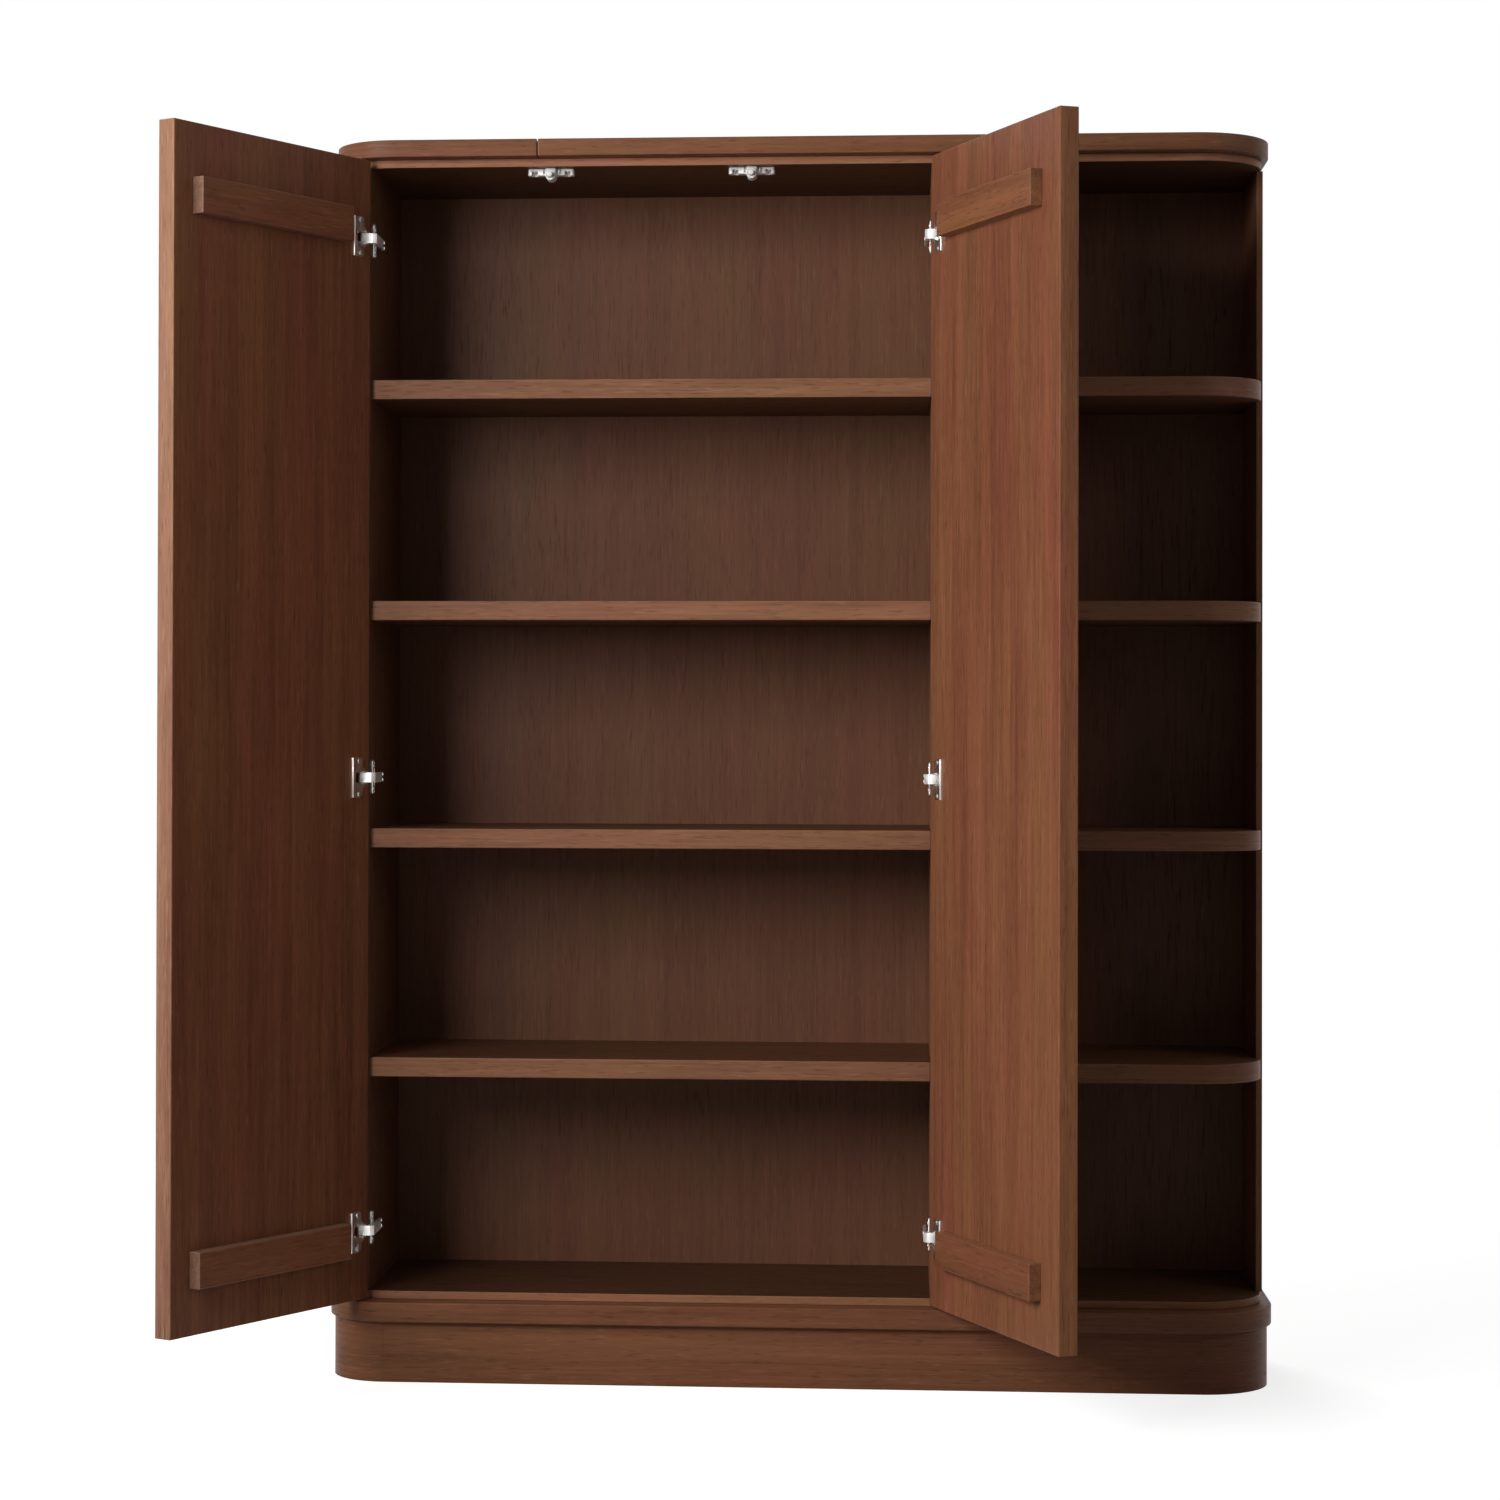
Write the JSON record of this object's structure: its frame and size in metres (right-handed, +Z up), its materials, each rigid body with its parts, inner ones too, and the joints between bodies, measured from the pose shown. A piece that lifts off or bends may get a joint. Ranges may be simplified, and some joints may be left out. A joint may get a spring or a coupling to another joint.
{
  "type": "tall storage cabinet",
  "caption": "Tall freestanding storage cabinet with a pair of hinged doors over fixed shelves, an open side unit with rounded shelf corners, slab top and base, and a plinth.",
  "frame": {"origin": "on the floor, at the middle of the plan of the base slab, on the underside of the plinth's centre brace", "axes": "+X to the right as seen from the front, +Y towards the back, +Z up; the fronts face -Y"},
  "size_m": [1.5429, 0.7096, 1.8],
  "materials": {
    "slab_walnut": "satin walnut-brown veneer, grain along the slab",
    "door_walnut": "satin walnut-brown veneer, grain upright",
    "carcass_walnut": "satin walnut-brown veneer",
    "back_walnut": "satin walnut-brown veneer, grain upright",
    "plinth_walnut": "satin walnut-brown veneer, grain along the plinth",
    "batten_walnut": "satin walnut-brown wood",
    "dowel_beech": "plain turned hardwood",
    "hinge_nickel": "bright nickel plate",
    "screw_steel": "zinc-plated steel",
    "latch_silver": "silver-grey moulded plastic",
    "latch_plunger": "pale moulded plastic",
    "spring_steel": "bright spring steel"
  },
  "bodies": {
    "root": {"base_slab": "slab_walnut", "carcass_bottom_panel": "carcass_walnut", "carcass_top_panel": "carcass_walnut", "divider": "carcass_walnut", "divider_shelf_dowels": "dowel_beech", "latch_housing_left": "latch_silver", "latch_housing_right": "latch_silver", "latch_screws": "screw_steel", "latch_spring_left": "spring_steel", "latch_spring_right": "spring_steel", "left_corner_post": "carcass_walnut", "left_end_panel": "carcass_walnut", "left_hinge_arms": "hinge_nickel", "left_hinge_mount_plates": "hinge_nickel", "left_hinge_plate_screws": "screw_steel", "left_shelf_dowels": "dowel_beech", "left_wall": "carcass_walnut", "main_back_panel": "back_walnut", "main_shelf_1": "carcass_walnut", "main_shelf_2": "carcass_walnut", "main_shelf_3": "carcass_walnut", "main_shelf_4": "carcass_walnut", "plinth_back_board": "plinth_walnut", "plinth_brace_1": "plinth_walnut", "plinth_brace_2": "plinth_walnut", "plinth_brace_3": "plinth_walnut", "plinth_corner_left": "plinth_walnut", "plinth_corner_right": "plinth_walnut", "plinth_front_board": "plinth_walnut", "plinth_left_board": "plinth_walnut", "plinth_right_board": "plinth_walnut", "right_hinge_arms": "hinge_nickel", "right_hinge_mount_plates": "hinge_nickel", "right_hinge_plate_screws": "screw_steel", "right_side_panel": "carcass_walnut", "side_back_panel": "back_walnut", "side_shelf_1": "carcass_walnut", "side_shelf_2": "carcass_walnut", "side_shelf_3": "carcass_walnut", "side_shelf_4": "carcass_walnut", "side_shelf_dowels": "dowel_beech", "top_slab_left": "slab_walnut", "top_slab_right": "slab_walnut", "upright_dowels": "dowel_beech"},
    "latch_plunger_left": {"latch_plunger_left": "latch_plunger"},
    "latch_plunger_right": {"latch_plunger_right": "latch_plunger"},
    "left_door": {"left_door_bottom_batten": "batten_walnut", "left_door_panel": "door_walnut", "left_door_top_batten": "batten_walnut", "left_hinge_cup_screws": "screw_steel", "left_hinge_cups": "hinge_nickel", "left_hinge_pins": "screw_steel"},
    "right_door": {"right_door_bottom_batten": "batten_walnut", "right_door_panel": "door_walnut", "right_door_top_batten": "batten_walnut", "right_hinge_cup_screws": "screw_steel", "right_hinge_cups": "hinge_nickel", "right_hinge_pins": "screw_steel"}
  },
  "joints": [
    {"name": "left_door_hinge", "type": "hinge", "parent": "root", "child": "left_door", "pos_m": [-0.6335, -0.1522, 0.875], "axis": [0, 0, -1], "range_deg": [-120, 5]},
    {"name": "right_door_hinge", "type": "hinge", "parent": "root", "child": "right_door", "pos_m": [0.2035, -0.1522, 0.875], "axis": [0, 0, 1], "range_deg": [-113, 5]},
    {"name": "left_latch_push", "type": "slide", "parent": "root", "child": "latch_plunger_left", "axis": [0, 1, 0], "range_m": [0, 0.006], "stiffness_N_per_m": 250, "springref_m": -0.004},
    {"name": "right_latch_push", "type": "slide", "parent": "root", "child": "latch_plunger_right", "axis": [0, 1, 0], "range_m": [0, 0.006], "stiffness_N_per_m": 250, "springref_m": -0.004}
  ]
}
